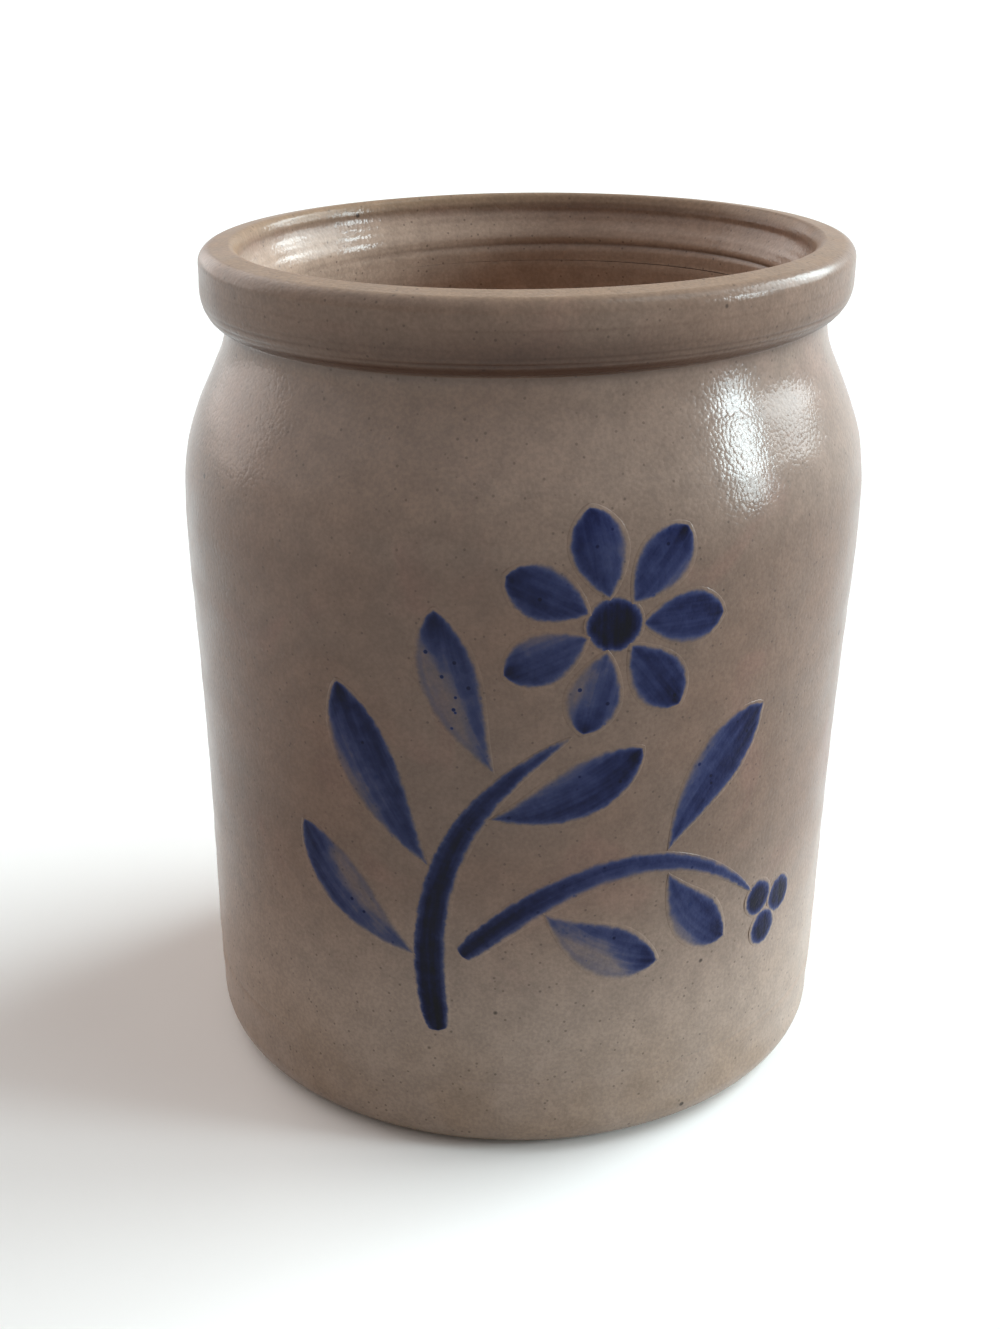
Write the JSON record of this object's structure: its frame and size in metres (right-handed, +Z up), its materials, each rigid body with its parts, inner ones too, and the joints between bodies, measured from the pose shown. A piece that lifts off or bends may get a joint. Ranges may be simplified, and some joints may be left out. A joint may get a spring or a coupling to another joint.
{
  "type": "salt crock",
  "caption": "Open wheel-thrown stoneware salt crock with a rounded shoulder, a rolled rim and a cobalt flower spray brushed on the front.",
  "frame": {"origin": "middle of the flat resting face under the base", "axes": "+Z up along the crock's axis, out of its mouth; -Y is the front, with the flower spray; +X is to the right as seen from the front"},
  "size_m": [0.1224, 0.1226, 0.151],
  "materials": {
    "salt_glazed_clay": "orange-peel salt glaze",
    "toasted_rim_clay": "orange-peel salt glaze, drier on the lip",
    "cobalt_slip": "brushed cobalt slip under salt glaze"
  },
  "bodies": {
    "root": {"base": "salt_glazed_clay", "wall": "salt_glazed_clay", "rolled_rim": "toasted_rim_clay", "stem": "cobalt_slip", "twig": "cobalt_slip", "blossom_eye": "cobalt_slip", "leaf_1": "cobalt_slip", "leaf_2": "cobalt_slip", "leaf_3": "cobalt_slip", "leaf_4": "cobalt_slip", "leaf_5": "cobalt_slip", "leaf_6": "cobalt_slip", "leaf_7": "cobalt_slip", "petal_1": "cobalt_slip", "petal_2": "cobalt_slip", "petal_3": "cobalt_slip", "petal_4": "cobalt_slip", "petal_5": "cobalt_slip", "petal_6": "cobalt_slip", "petal_7": "cobalt_slip", "berry_1": "cobalt_slip", "berry_2": "cobalt_slip", "berry_3": "cobalt_slip"}
  },
  "joints": []
}
